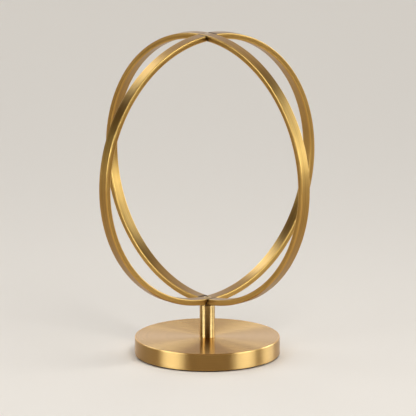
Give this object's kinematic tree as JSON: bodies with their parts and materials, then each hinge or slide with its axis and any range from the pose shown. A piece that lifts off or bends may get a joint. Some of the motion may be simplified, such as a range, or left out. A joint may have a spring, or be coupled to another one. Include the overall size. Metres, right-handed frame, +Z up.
{
  "type": "interlocking ring sculpture",
  "caption": "Table sculpture of crossing flat-bar brass hoops lapped into each other at top and bottom, on a short round post and a weighted round brass base.",
  "frame": {"origin": "centre of the underside of the pad, on the surface that the sculpture stands on", "axes": "+Z up along the post. The hoops stand at equal angles to the X axis; the first hoop comes forward, towards -Y, on the +X side"},
  "size_m": [0.2452, 0.2298, 0.386],
  "materials": {
    "hoop_brass": "brushed along the bar, satin lacquer",
    "fixing_brass": "filed, satin",
    "seat_brass": "darkened, matte",
    "post_brass": "fine satin, turned round",
    "base_brass": "turned satin, brushed round",
    "weight_iron": "as cast, black paint",
    "bolt_steel": "zinc plated",
    "spring_steel": "oiled spring steel",
    "felt": "pressed felt"
  },
  "bodies": {
    "root": {"first_hoop": "hoop_brass", "second_hoop": "hoop_brass", "top_rivet": "fixing_brass", "post_screw": "fixing_brass", "hoop_seat": "seat_brass", "post": "post_brass", "base_shell": "base_brass", "base_weight": "weight_iron", "base_bolt": "bolt_steel", "flat_washer": "bolt_steel", "spring_washer": "spring_steel", "felt_pad": "felt"}
  },
  "joints": []
}
